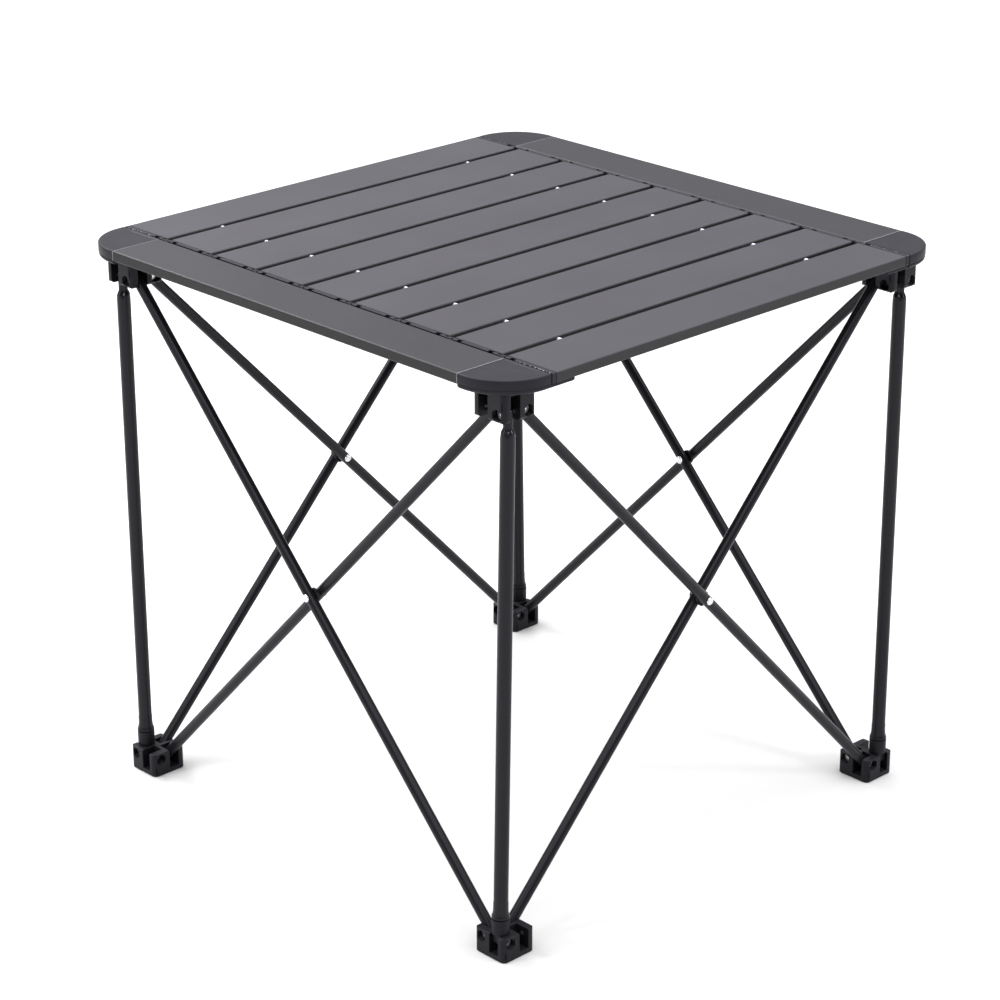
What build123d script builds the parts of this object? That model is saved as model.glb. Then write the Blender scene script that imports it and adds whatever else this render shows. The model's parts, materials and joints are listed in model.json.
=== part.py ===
from build123d import *
import math
import os

# Folding side table, in millimetres. X runs along the slats, Y along the two end rails, Z up.
# The origin is at the bottom centre of the open table, on the floor.
# The corners are named as seen by someone who faces the front corner.

# Overall sizes
table_height = 534.0
top_length = 556.5
slat_count = 9
slat_width = 56.5
slat_gap = 6.0

# Tabletop
slat_thickness = 9.6
extrusion_wall = 1.2
slat_edge_radius = 1.6
corner_size = 53.2
corner_radius = 48.0
rail_lip_reach = 4.8
rail_lip_thickness = 1.6
rail_lip_root = 6.0
seat_clearance = 0.1
plug_clearance = 0.2
plug_depth = 14.0

# Slat end caps and the links between them
end_gap = 1.2
base_plate = 1.4
seam_width = 0.6
seam_depth = 0.6
link_layer = 1.6
layer_clearance = 0.2
flange_width = 31.5
link_width = 20.0
knuckle_radius = 4.6
knuckle_room = 0.6
stud_radius = 1.6

# Elastic cords through the slats
cord_radius = 1.8
cord_clearance = 0.4
cord_depth = 3.4
cord_from_slat_end = 64.0
cord_end_inset = 12.0

# Corner caps
cap_base_height = 5.0
cap_base_inset = 1.5
cap_base_taper = 50.0
cap_edge_radius = 0.8
tab_length = 30.0
tab_width = 42.0
tab_thickness = 3.0
tab_root = 8.0

# Hub mouldings, each with four fork slots
hub_inset = 36.5
ear_wall = 7.6
core_half = 3.5
slot_side_clearance = 0.4
slot_end_clearance = 1.5
ear_beyond_pin = 6.5
hub_edge_radius = 5.0
relief_width = 0.9
relief_depth = 1.2
relief_length = 6.4
relief_from_pin = 5.8
foot_pin_height = 17.0
foot_floor = 5.0
foot_chamfer = 1.0
foot_ear_radius = 1.2
top_ear_radius = 3.5
foot_relief_drop = 10.6
top_relief_rise = 8.2
hub_deck = 2.5
slot_above_top_pin = 16.6
hub_gap = 0.2
spigot_base_radius = 13.0
spigot_top_radius = 8.0
spigot_height = 2.0
spigot_clearance = 0.3

# Pins and rivets
pin_radius = 2.0
pin_head_radius = 4.0
pin_head_height = 1.6
head_recess = 4.6
pocket_radius = 5.6
running_clearance = 0.08
pin_wall = 1.5
pin_end_room = 0.3
rivet_radius = 2.0
rivet_head_radius = 3.8
rivet_head_height = 1.2

# Scissor bars
bar_diameter = 10.0
bar_wall = 1.0
bar_end_land = 0.3
washer_gap = 1.0
washer_radius = 7.0
washer_saddle = 2.2
washer_clearance = 0.1

# Legs with their foot ferrules and boots
leg_diameter = 12.7
leg_wall = 1.0
neck_diameter = 8.8
neck_below_pin = 12.5
neck_taper = 5.3
ferrule_flange_radius = 8.0
ferrule_top_wall = 0.5
ferrule_flange_edge = 1.4
ferrule_length = 15.0
ferrule_seat = 2.0
spigot_radius = 5.3
spigot_length = 12.6
boot_radius = 8.0
boot_bore_clearance = 0.5
boot_height = 13.5
boot_floor = 0.5
boot_gap = 0.8
seam_gap = 1.0

# Sizes that follow from the ones above
top_width = slat_count * slat_width + (slat_count - 1) * slat_gap
half_length = top_length / 2
half_width = top_width / 2
slat_pitch = slat_width + slat_gap
slat_bottom = table_height - slat_thickness
slat_middle = table_height - slat_thickness / 2
flange_depth = base_plate + 2 * (link_layer + layer_clearance)
slat_end = half_length - corner_size - end_gap - flange_depth
rail_thickness = slat_thickness + seat_clearance
rail_centre = half_length - corner_size / 2
rail_length = top_width - 2 * corner_size
cord_height = table_height - cord_depth
cord_x = slat_end - cord_from_slat_end

cap_bottom = slat_bottom - seat_clearance - cap_base_height
hub_top = cap_bottom - hub_gap
top_pin_height = hub_top - hub_deck - slot_above_top_pin
hub_x = half_length - hub_inset
hub_y = half_width - hub_inset
slot_width = bar_diameter + 2 * slot_side_clearance
slot_offset = (bar_diameter + washer_gap) / 2
hub_half = slot_offset + slot_width / 2 + ear_wall
pin_reach = core_half + slot_end_clearance + bar_diameter / 2
pin_hole_radius = pin_radius + running_clearance
pin_end = core_half - pin_wall
boot_bottom = foot_pin_height + ear_beyond_pin + boot_gap
boot_top = boot_bottom + boot_height
ferrule_bottom = boot_top + seam_gap - spigot_length

# Each corner: side of the table in X and in Y, and the turn of its mouldings about Z
corners = {
    "front": (-1, -1, 0),
    "right": (1, -1, 90),
    "back": (1, 1, 180),
    "left": (-1, 1, 270),
}
corner_order = list(corners)

# Each fork slot of a hub, as the turn from the slot that opens towards the hub's own -X
foot_leg_slot = 0
foot_outer_slot = -90
foot_inner_slot = -180
top_leg_slot = 90
top_outer_slot = 180
top_inner_slot = 270
foot_hand = 1
top_hand = -1


def hub_plane(corner, height, slot_turn=0):
    """Horizontal plane at a hub's centre line, turned with its corner and one of its slots."""
    side_x, side_y, turn = corners[corner]
    angle = math.radians(turn + slot_turn)
    return Plane(
        origin=(side_x * hub_x, side_y * hub_y, height),
        x_dir=(math.cos(angle), math.sin(angle), 0),
        z_dir=(0, 0, 1),
    )


def pin_plane(corner, height, slot_turn, hand):
    """Plane through a pin, at the middle of its slot, whose z runs inwards from the pin's head."""
    level = hub_plane(corner, height, slot_turn)
    centre = level.from_local_coords(Vector(-pin_reach, -hand * slot_offset, 0))
    return Plane(origin=centre, x_dir=level.x_dir, z_dir=level.y_dir * hand)


def next_corner(corner, step):
    """The corner that many places round the table."""
    return corner_order[(corner_order.index(corner) + step) % len(corner_order)]


def cut_forks(corner, height, hand, slot_low, slot_high, relief_rise):
    """Cut a hub's four fork slots, with the pin hole, hexagon pocket and relief slit of each."""
    slot_length = hub_half - core_half
    for slot_turn in (0, 90, 180, 270):
        level = hub_plane(corner, slot_low, slot_turn)
        middle = level.from_local_coords(
            Vector(-core_half - slot_length / 2, -hand * slot_offset, 0)
        )
        with BuildSketch(Plane(origin=middle, x_dir=level.x_dir, z_dir=(0, 0, 1))) as slot:
            Rectangle(slot_length, slot_width)
        extrude(slot.sketch, amount=slot_high - slot_low, mode=Mode.SUBTRACT)
        pin_line = pin_plane(corner, height, slot_turn, hand)
        outside = hub_half - slot_offset
        pocket_depth = head_recess + pin_head_height
        with BuildSketch(pin_line.offset(-outside)) as hole:
            Circle(pin_hole_radius)
        extrude(hole.sketch, amount=hub_half + pin_end + pin_end_room, mode=Mode.SUBTRACT)
        with BuildSketch(pin_line.offset(-outside)) as pocket:
            RegularPolygon(pocket_radius, 6, rotation=30)
        extrude(pocket.sketch, amount=pocket_depth, mode=Mode.SUBTRACT)
        upward = 1 if pin_line.y_dir.Z > 0 else -1
        with BuildSketch(pin_line.offset(-outside)) as relief:
            with Locations((-relief_from_pin, upward * relief_rise)):
                Rectangle(relief_width, relief_length)
        extrude(relief.sketch, amount=relief_depth, mode=Mode.SUBTRACT)


def add_pins(corner, height, hand, slot_turns):
    """Headed pins across the fork slots in use, each ending blind in the hub's core."""
    for slot_turn in slot_turns:
        pin_line = pin_plane(corner, height, slot_turn, hand)
        head_face = hub_half - slot_offset - head_recess
        with BuildSketch(pin_line.offset(-head_face)) as head:
            Circle(pin_head_radius)
        extrude(head.sketch, amount=pin_head_height)
        with BuildSketch(pin_line.offset(-head_face)) as shank:
            Circle(pin_radius)
        extrude(shank.sketch, amount=head_face + slot_offset + pin_end)


def round_ears(corner, low, high, ears_at_top, ear_radius):
    """Trim a hub block so that its ears end in round corners, seen from all four sides."""
    height = high - low
    for slot_turn in (0, 90):
        level = hub_plane(corner, (low + high) / 2, slot_turn)
        side_view = Plane(origin=level.origin, x_dir=level.x_dir, z_dir=level.y_dir)
        ear_end = -1 if (side_view.y_dir.Z > 0) == ears_at_top else 0
        with BuildSketch(side_view) as outline:
            Rectangle(2 * hub_half, height)
            ear_corners = outline.vertices().group_by(Axis.Y)[ear_end]
            fillet(ear_corners, radius=ear_radius)
        extrude(outline.sketch, amount=hub_half, both=True, mode=Mode.INTERSECT)


def bar_frame(low_pin, high_pin):
    """Plane at a bar's middle: x along the bar, z along its pins, from the table's inside out."""
    along = high_pin.origin - low_pin.origin
    return Plane(
        origin=(low_pin.origin + high_pin.origin) * 0.5, x_dir=along.normalized(), z_dir=low_pin.z_dir
    ), along.length


def make_bar(bar_plane, pivot_length):
    """A round tube with full-round ends and three cross holes."""
    end_plane = Plane(
        origin=bar_plane.from_local_coords(Vector(-pivot_length / 2 - bar_diameter / 2, 0, 0)),
        x_dir=bar_plane.z_dir,
        z_dir=bar_plane.x_dir,
    )
    with BuildSketch(end_plane) as tube:
        Circle(bar_diameter / 2)
        Circle(bar_diameter / 2 - bar_wall, mode=Mode.SUBTRACT)
    extrude(tube.sketch, amount=pivot_length + bar_diameter)
    with BuildSketch(bar_plane) as side_view:
        Rectangle(pivot_length, 2 * bar_diameter)
        with Locations((-pivot_length / 2, 0), (pivot_length / 2, 0)):
            Circle(bar_diameter / 2 + bar_end_land)
    extrude(side_view.sketch, amount=bar_diameter, both=True, mode=Mode.INTERSECT)
    with BuildSketch(bar_plane) as holes:
        with Locations((-pivot_length / 2, 0), (pivot_length / 2, 0)):
            Circle(pin_hole_radius)
        Circle(rivet_radius + running_clearance)
    extrude(holes.sketch, amount=bar_diameter, both=True, mode=Mode.SUBTRACT)


def cap_outline(corner, inset):
    """Face of a corner cap: a square with one large round corner, set in on its outer sides."""
    side_x, side_y, _ = corners[corner]

    def at(from_side, from_end):
        return (side_x * (half_length - from_side), side_y * (half_width - from_end))

    middle = corner_radius - (corner_radius - inset) / math.sqrt(2)
    with BuildLine() as outline:
        Polyline(
            at(corner_radius, inset), at(corner_size, inset), at(corner_size, corner_size),
            at(inset, corner_size), at(inset, corner_radius),
        )
        ThreePointArc(at(inset, corner_radius), at(middle, middle), at(corner_radius, inset))
    make_face(outline.edges())


os.makedirs("parts", exist_ok=True)

# Slats: hollow extrusions with holes for the elastic cords, closed on the table's outer sides
slat_y = [(number - (slat_count - 1) / 2) * slat_pitch for number in range(slat_count)]
for number, y in enumerate(slat_y, start=1):
    outward = (number == slat_count) - (number == 1)
    with BuildPart() as slat:
        with BuildSketch(Plane(origin=(0, y, slat_middle), x_dir=(0, 1, 0), z_dir=(1, 0, 0))):
            RectangleRounded(slat_width, slat_thickness, slat_edge_radius)
            Rectangle(
                slat_width - 2 * extrusion_wall, slat_thickness - 2 * extrusion_wall, mode=Mode.SUBTRACT
            )
        extrude(amount=slat_end, both=True)
        hole_y = y - outward * slat_width
        with BuildSketch(Plane(origin=(0, hole_y, cord_height), x_dir=(1, 0, 0), z_dir=(0, 1, 0))):
            with Locations((-cord_x, 0), (cord_x, 0)):
                Circle(cord_radius + cord_clearance)
        extrude(amount=slat_width, both=True, mode=Mode.SUBTRACT)
    slat.part.label = f"slat_{number}"
    export_step(slat.part, f"parts/slat_{number}.step")

# Slat end caps: a plug in the slat, a seam, a flange, and link arms that meet the neighbours' arms
inner_layer = base_plate + layer_clearance
outer_layer = inner_layer + link_layer + layer_clearance
block_far = slat_pitch / 2 - knuckle_radius - knuckle_room
block_near = slat_pitch / 2 - link_width / 2
knuckle_height = 2 * knuckle_radius
edge_flange_width = (slat_width + flange_width) / 2
for number, y in enumerate(slat_y, start=1):
    outward = (number == slat_count) - (number == 1)
    with BuildPart() as end_caps:
        for side in (-1, 1):
            face = Plane(origin=(side * slat_end, y, slat_middle), x_dir=(0, 1, 0), z_dir=(side, 0, 0))
            with BuildSketch(face):
                Rectangle(
                    slat_width - 2 * (extrusion_wall + plug_clearance),
                    slat_thickness - 2 * (extrusion_wall + plug_clearance),
                )
            extrude(amount=-plug_depth)
            with BuildSketch(face):
                Rectangle(slat_width - 2 * seam_depth, slat_thickness - 2 * seam_depth)
            extrude(amount=base_plate)
            plate = face.offset(seam_width)
            with BuildSketch(plate):
                RectangleRounded(slat_width, slat_thickness, slat_edge_radius)
            extrude(amount=base_plate - seam_width)
            with BuildSketch(plate):
                Rectangle(flange_width, slat_thickness)
                if outward:
                    with Locations((outward * (slat_width - edge_flange_width) / 2, 0)):
                        RectangleRounded(edge_flange_width, slat_thickness, slat_edge_radius)
            extrude(amount=flange_depth - seam_width)
            for toward, layer in ((1, inner_layer), (-1, outer_layer)):
                if not 1 <= number + toward <= slat_count:
                    continue
                with BuildSketch(plate):
                    with Locations((toward * (block_near + block_far) / 2, 0)):
                        Rectangle(block_far - block_near, knuckle_height)
                extrude(amount=flange_depth - seam_width)
                with BuildSketch(face.offset(layer)):
                    with Locations((toward * (block_near + slat_pitch / 2) / 2, 0)):
                        Rectangle(slat_pitch / 2 - block_near, knuckle_height)
                    with Locations((toward * slat_pitch / 2, 0)):
                        Circle(knuckle_radius)
                        if toward < 0:
                            Circle(stud_radius + running_clearance, mode=Mode.SUBTRACT)
                extrude(amount=link_layer)
                if toward > 0:
                    with BuildSketch(face.offset(layer)):
                        with Locations((slat_pitch / 2, 0)):
                            Circle(stud_radius)
                    extrude(amount=flange_depth - layer)
    end_caps.part.label = f"slat_{number}_end_caps"
    export_step(end_caps.part, f"parts/slat_{number}_end_caps.step")

# Elastic cords: two straight lengths through all the slats
with BuildPart() as cords:
    with BuildSketch(Plane(origin=(0, 0, cord_height), x_dir=(1, 0, 0), z_dir=(0, 1, 0))):
        with Locations((-cord_x, 0), (cord_x, 0)):
            Circle(cord_radius)
    extrude(amount=half_width - cord_end_inset, both=True)
cords.part.label = "shock_cords"
export_step(cords.part, "parts/shock_cords.step")

# End rails: hollow extrusions with a lip below that carries the slats' ends
for side, name in ((-1, "left_rail"), (1, "right_rail")):
    with BuildPart() as rail:
        section = Plane(
            origin=(side * rail_centre, 0, table_height - rail_thickness / 2),
            x_dir=(-side, 0, 0),
            z_dir=(0, side, 0),
        )
        with BuildSketch(section):
            RectangleRounded(corner_size, rail_thickness, slat_edge_radius)
            Rectangle(
                corner_size - 2 * extrusion_wall, rail_thickness - 2 * extrusion_wall, mode=Mode.SUBTRACT
            )
            with Locations(
                (corner_size / 2 + (rail_lip_reach - rail_lip_root) / 2,
                 -rail_thickness / 2 - rail_lip_thickness / 2)
            ):
                Rectangle(rail_lip_reach + rail_lip_root, rail_lip_thickness)
        extrude(amount=rail_length / 2, both=True)
    rail.part.label = name
    export_step(rail.part, f"parts/{name}.step")

# Corner caps: a round-cornered pad, a tapered base, a tab under the outer slat, a plug in the rail
for corner, (side_x, side_y, turn) in corners.items():
    with BuildPart() as cap:
        with BuildSketch(Plane.XY.offset(table_height)):
            cap_outline(corner, 0)
        extrude(amount=-rail_thickness)
        fillet(cap.faces().sort_by(Axis.Z)[-1].edges(), radius=cap_edge_radius)
        with BuildSketch(Plane.XY.offset(table_height - rail_thickness)):
            cap_outline(corner, cap_base_inset)
        extrude(amount=-cap_base_height, taper=cap_base_taper)
        tab_x = side_x * (half_length - corner_size - tab_length / 2)
        tab_y = side_y * (half_width - cap_base_inset - tab_width / 2)
        with BuildSketch(
            Plane(origin=(tab_x + side_x * tab_root / 2, tab_y, slat_bottom - 2 * seat_clearance))
        ):
            Rectangle(tab_length + tab_root, tab_width)
        extrude(amount=-tab_thickness)
        plug_y = side_y * (half_width - corner_size)
        with BuildSketch(
            Plane(
                origin=(side_x * rail_centre, plug_y, table_height - rail_thickness / 2),
                x_dir=(side_y, 0, 0),
                z_dir=(0, -side_y, 0),
            )
        ):
            Rectangle(
                corner_size - 2 * (extrusion_wall + plug_clearance),
                rail_thickness - 2 * (extrusion_wall + plug_clearance),
            )
        extrude(amount=plug_depth)
        with Locations((side_x * hub_x, side_y * hub_y, cap_bottom)):
            Cone(
                spigot_base_radius + spigot_clearance,
                spigot_top_radius + spigot_clearance,
                spigot_height + spigot_clearance,
                align=(Align.CENTER, Align.CENTER, Align.MIN),
                mode=Mode.SUBTRACT,
            )
    cap.part.label = f"{corner}_corner_cap"
    export_step(cap.part, f"parts/{corner}_corner_cap.step")

# Foot hubs, each with the boot that holds its leg as a second solid
foot_top = foot_pin_height + ear_beyond_pin
tongue_half = bar_diameter / 2
for corner in corners:
    with BuildPart() as foot_hub:
        with BuildSketch(hub_plane(corner, 0)):
            RectangleRounded(2 * hub_half, 2 * hub_half, hub_edge_radius)
        extrude(amount=foot_top)
        round_ears(corner, 0, foot_top, ears_at_top=True, ear_radius=foot_ear_radius)
        chamfer(foot_hub.faces().sort_by(Axis.Z)[0].edges(), length=foot_chamfer)
        cut_forks(
            corner, foot_pin_height, foot_hand, foot_floor, foot_top + hub_half, -foot_relief_drop
        )
        boot_pin = pin_plane(corner, foot_pin_height, foot_leg_slot, foot_hand)
        boot_level = hub_plane(corner, boot_bottom, foot_leg_slot)
        boot_centre = Plane(
            origin=boot_level.from_local_coords(Vector(-pin_reach, -foot_hand * slot_offset, 0)),
            x_dir=boot_level.x_dir,
            z_dir=(0, 0, 1),
        )
        with BuildSketch(boot_pin):
            Circle(tongue_half)
        extrude(amount=tongue_half, both=True)
        with BuildSketch(boot_centre.offset(foot_pin_height - boot_bottom)):
            Rectangle(2 * tongue_half, 2 * tongue_half)
        extrude(amount=boot_bottom - foot_pin_height + boot_floor)
        with BuildSketch(boot_centre):
            Circle(boot_radius)
        extrude(amount=boot_height)
        with BuildSketch(boot_centre.offset(boot_floor)):
            Circle(spigot_radius + boot_bore_clearance)
        extrude(amount=boot_height, mode=Mode.SUBTRACT)
        with BuildSketch(boot_pin):
            Circle(pin_hole_radius)
        extrude(amount=tongue_half, both=True, mode=Mode.SUBTRACT)
    foot_hub.part.label = f"{corner}_foot_hub"
    export_step(foot_hub.part, f"parts/{corner}_foot_hub.step")

# Top hubs, each with a low cone on top that centres the corner cap
ear_bottom = top_pin_height - ear_beyond_pin
slot_top = hub_top - hub_deck
for corner in corners:
    with BuildPart() as top_hub:
        with BuildSketch(hub_plane(corner, ear_bottom)):
            RectangleRounded(2 * hub_half, 2 * hub_half, hub_edge_radius)
        extrude(amount=hub_top - ear_bottom)
        round_ears(corner, ear_bottom, hub_top, ears_at_top=False, ear_radius=top_ear_radius)
        cut_forks(
            corner, top_pin_height, top_hand, ear_bottom - hub_half, slot_top, top_relief_rise
        )
        with Locations(hub_plane(corner, hub_top)):
            Cone(
                spigot_base_radius,
                spigot_top_radius,
                spigot_height,
                align=(Align.CENTER, Align.CENTER, Align.MIN),
            )
    top_hub.part.label = f"{corner}_top_hub"
    export_step(top_hub.part, f"parts/{corner}_top_hub.step")

# Hub pins: one set for each hub
for corner in corners:
    with BuildPart() as foot_pins:
        add_pins(corner, foot_pin_height, foot_hand, (foot_leg_slot, foot_outer_slot, foot_inner_slot))
    foot_pins.part.label = f"{corner}_foot_pins"
    export_step(foot_pins.part, f"parts/{corner}_foot_pins.step")
    with BuildPart() as top_pins:
        add_pins(corner, top_pin_height, top_hand, (top_leg_slot, top_outer_slot, top_inner_slot))
    top_pins.part.label = f"{corner}_top_pins"
    export_step(top_pins.part, f"parts/{corner}_top_pins.step")

# Scissor bars: from each foot hub, an outer bar to the corner before and an inner bar to the next
pivot_names = {
    "front": "front_left_pivot",
    "right": "front_right_pivot",
    "back": "back_right_pivot",
    "left": "back_left_pivot",
}
for corner in corners:
    outer_low = pin_plane(corner, foot_pin_height, foot_outer_slot, foot_hand)
    outer_high = pin_plane(next_corner(corner, -1), top_pin_height, top_outer_slot, top_hand)
    outer_plane, outer_length = bar_frame(outer_low, outer_high)
    with BuildPart() as outer_bar:
        make_bar(outer_plane, outer_length)
    outer_bar.part.label = f"{corner}_outer_bar"
    export_step(outer_bar.part, f"parts/{corner}_outer_bar.step")

    inner_low = pin_plane(corner, foot_pin_height, foot_inner_slot, foot_hand)
    inner_high = pin_plane(next_corner(corner, 1), top_pin_height, top_inner_slot, top_hand)
    inner_plane, inner_length = bar_frame(inner_low, inner_high)
    with BuildPart() as inner_bar:
        make_bar(inner_plane, inner_length)
    inner_bar.part.label = f"{corner}_inner_bar"
    export_step(inner_bar.part, f"parts/{corner}_inner_bar.step")

    # The middle rivet, with its flat heads, and the nylon washer that saddles the outer bar
    grip = bar_diameter + washer_gap + bar_diameter
    head_base = bar_diameter / 2
    saddle_plane = Plane(
        origin=outer_plane.from_local_coords(Vector(-washer_radius, 0, 0)),
        x_dir=outer_plane.z_dir,
        z_dir=outer_plane.x_dir,
    )
    with BuildPart() as pivot:
        with BuildSketch(outer_plane.offset(head_base - washer_saddle)):
            Circle(washer_radius)
            Circle(rivet_radius + running_clearance, mode=Mode.SUBTRACT)
        extrude(amount=washer_saddle + washer_gap - washer_clearance)
        with BuildSketch(saddle_plane):
            Circle(bar_diameter / 2)
        extrude(amount=2 * washer_radius, mode=Mode.SUBTRACT)
        with BuildSketch(outer_plane.offset(-head_base - rivet_head_height)):
            Circle(rivet_head_radius)
        extrude(amount=rivet_head_height)
        with BuildSketch(outer_plane.offset(-head_base)):
            Circle(rivet_radius)
        extrude(amount=grip + running_clearance)
        with BuildSketch(outer_plane.offset(grip - head_base + running_clearance)):
            Circle(rivet_head_radius)
        extrude(amount=rivet_head_height)
    pivot.part.label = pivot_names[corner]
    export_step(pivot.part, f"parts/{pivot_names[corner]}.step")

# Legs: a necked tube pinned in the top hub, and the ferrule that stands in the boot
for corner in corners:
    level = hub_plane(corner, 0, foot_leg_slot)
    boot_middle = level.from_local_coords(
        Vector(-pin_reach, -foot_hand * slot_offset, boot_bottom + boot_height / 2)
    )
    top_pin = pin_plane(corner, top_pin_height, top_leg_slot, top_hand)
    leg_direction = (top_pin.origin - boot_middle).normalized()
    leg_foot = boot_middle - leg_direction * (boot_bottom + boot_height / 2 - ferrule_bottom)
    pin_at = (top_pin.origin - leg_foot).length
    radial = level.y_dir.cross(leg_direction).normalized()
    leg_profile = Plane(origin=leg_foot, x_dir=radial, z_dir=radial.cross(leg_direction))
    leg_axis = Axis(leg_foot, leg_direction)
    flange_at = spigot_length
    tube_at = flange_at + ferrule_seat
    leg_radius = leg_diameter / 2
    neck_radius = neck_diameter / 2
    bore_radius = leg_radius - leg_wall
    neck_at = pin_at - neck_below_pin - neck_taper
    socket_radius = leg_radius + running_clearance
    socket_floor = tube_at - running_clearance
    with BuildPart() as leg:
        with BuildSketch(leg_profile):
            with BuildLine():
                Polyline(
                    (0, neck_at), (bore_radius, neck_at), (bore_radius, tube_at), (leg_radius, tube_at),
                    (leg_radius, neck_at), (neck_radius, neck_at + neck_taper), (neck_radius, pin_at),
                )
                RadiusArc((neck_radius, pin_at), (0, pin_at + neck_radius), -neck_radius)
                Line((0, pin_at + neck_radius), (0, neck_at))
            make_face()
        revolve(axis=leg_axis)
        with BuildSketch(top_pin):
            Circle(pin_hole_radius)
        extrude(amount=leg_diameter, both=True, mode=Mode.SUBTRACT)
        with BuildSketch(leg_profile):
            with BuildLine():
                Polyline(
                    (0, 0), (spigot_radius, 0), (spigot_radius, flange_at),
                    (ferrule_flange_radius, flange_at),
                    (ferrule_flange_radius, flange_at + ferrule_flange_edge),
                    (leg_radius + ferrule_top_wall, flange_at + ferrule_length),
                    (socket_radius, flange_at + ferrule_length), (socket_radius, socket_floor),
                    (0, socket_floor),
                    close=True,
                )
            make_face()
        revolve(axis=leg_axis)
    leg.part.label = f"{corner}_leg"
    export_step(leg.part, f"parts/{corner}_leg.step")
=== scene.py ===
# Folding side table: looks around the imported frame. Metres, +Z up, X along the slats, Y along the
# rails.
import json
import math
import bmesh
import bpy
import numpy as np
from mathutils import Matrix, Vector


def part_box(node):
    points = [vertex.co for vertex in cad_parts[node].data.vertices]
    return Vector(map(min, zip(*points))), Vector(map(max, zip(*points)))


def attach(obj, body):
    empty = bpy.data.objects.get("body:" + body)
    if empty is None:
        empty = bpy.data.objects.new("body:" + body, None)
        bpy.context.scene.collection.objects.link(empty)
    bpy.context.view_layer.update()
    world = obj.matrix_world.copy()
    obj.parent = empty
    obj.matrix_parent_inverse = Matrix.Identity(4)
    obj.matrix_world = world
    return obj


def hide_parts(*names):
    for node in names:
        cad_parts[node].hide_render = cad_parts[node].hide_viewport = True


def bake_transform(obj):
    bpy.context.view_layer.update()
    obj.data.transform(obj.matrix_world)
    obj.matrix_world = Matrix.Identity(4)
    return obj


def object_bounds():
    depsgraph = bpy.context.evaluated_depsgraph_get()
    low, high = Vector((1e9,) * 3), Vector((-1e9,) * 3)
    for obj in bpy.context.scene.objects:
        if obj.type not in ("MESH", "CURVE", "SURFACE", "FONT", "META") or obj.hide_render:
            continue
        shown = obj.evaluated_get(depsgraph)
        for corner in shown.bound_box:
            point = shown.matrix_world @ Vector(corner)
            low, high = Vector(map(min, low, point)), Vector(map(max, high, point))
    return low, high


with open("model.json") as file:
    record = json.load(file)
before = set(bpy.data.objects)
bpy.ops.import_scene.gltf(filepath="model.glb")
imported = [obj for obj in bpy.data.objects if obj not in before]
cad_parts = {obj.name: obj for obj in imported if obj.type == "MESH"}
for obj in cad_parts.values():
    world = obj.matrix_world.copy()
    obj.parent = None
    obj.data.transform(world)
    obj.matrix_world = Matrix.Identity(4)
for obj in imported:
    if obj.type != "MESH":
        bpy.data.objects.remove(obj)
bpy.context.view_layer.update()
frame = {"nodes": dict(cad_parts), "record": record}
nodes = frame["nodes"]
cornerNames = ("front", "right", "back", "left")
print("frame loaded:", len(nodes), "nodes")


# Camera: a long lens that looks down on the front corner
camera = {
    "azimuth": -43.892,
    "elevation": 22.083,
    "roll": -0.049,
    "distance": 2.7728,
    "lens": 109.79,
    "target": (-0.05617, -0.04367, 0.30972),
    "sensor": 36.0,
    "clipEnd": 100.0,
}


def placeCamera(size):
    azimuth, elevation, roll = (math.radians(size[k]) for k in ("azimuth", "elevation", "roll"))
    back = Vector((
        math.sin(azimuth) * math.cos(elevation),
        -math.cos(azimuth) * math.cos(elevation),
        math.sin(elevation),
    ))
    right = (-back).cross(Vector((0, 0, 1))).normalized()
    up = back.cross(right)
    rolledRight = right * math.cos(roll) + up * math.sin(roll)
    rolledUp = up * math.cos(roll) - right * math.sin(roll)
    turn = Matrix((rolledRight, rolledUp, back)).transposed().to_4x4()
    lens = bpy.data.cameras.new("camera")
    lens.lens = size["lens"]
    lens.sensor_width = size["sensor"]
    lens.clip_end = size["clipEnd"]
    holder = bpy.data.objects.new("camera", lens)
    place = Vector(size["target"]) + back * size["distance"]
    holder.matrix_world = Matrix.Translation(place) @ turn
    bpy.context.scene.collection.objects.link(holder)
    bpy.context.scene.camera = holder


placeCamera(camera)

# Studio: a pale floor, a wide sky, a soft light overhead and two small bright ones at the sides
studio = {
    "floorSize": 40.0,
    "floorColour": (0.66, 0.66, 0.66, 1.0),
    "floorRoughness": 0.95,
    "worldColour": (1.0, 1.0, 1.0, 1.0),
    "worldStrength": 0.36,
    "aim": (0.0, 0.0, 0.3),
    "sky": {"strength": 4.5, "spread": 110.0, "from": (-0.04, 0.04, 1.0)},
    "lights": {
        "overhead": {"place": (-0.2, 1.6, 1.9), "size": 1.2, "power": 34.0},
        "rightFill": {"place": (1.0, -2.6, 1.5), "size": 0.35, "power": 22.0},
        "leftFill": {"place": (-2.8, 0.9, 1.5), "size": 0.35, "power": 22.0},
    },
}


def addLight(name, place, size, power, aim):
    lamp = bpy.data.lights.new(name, "AREA")
    lamp.size = size
    lamp.energy = power
    holder = bpy.data.objects.new(name, lamp)
    holder.location = place
    holder.rotation_euler = (Vector(aim) - Vector(place)).to_track_quat("-Z", "Y").to_euler()
    bpy.context.scene.collection.objects.link(holder)


# A very wide sun lights the table and the floor evenly from above
def addSky(strength, spread, origin):
    lamp = bpy.data.lights.new("sky", "SUN")
    lamp.energy = strength
    lamp.angle = math.radians(spread)
    holder = bpy.data.objects.new("sky", lamp)
    holder.rotation_euler = (-Vector(origin)).to_track_quat("-Z", "Y").to_euler()
    bpy.context.scene.collection.objects.link(holder)


addSky(studio["sky"]["strength"], studio["sky"]["spread"], studio["sky"]["from"])
for lightName, light in studio["lights"].items():
    addLight(lightName, light["place"], light["size"], light["power"], studio["aim"])

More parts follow.
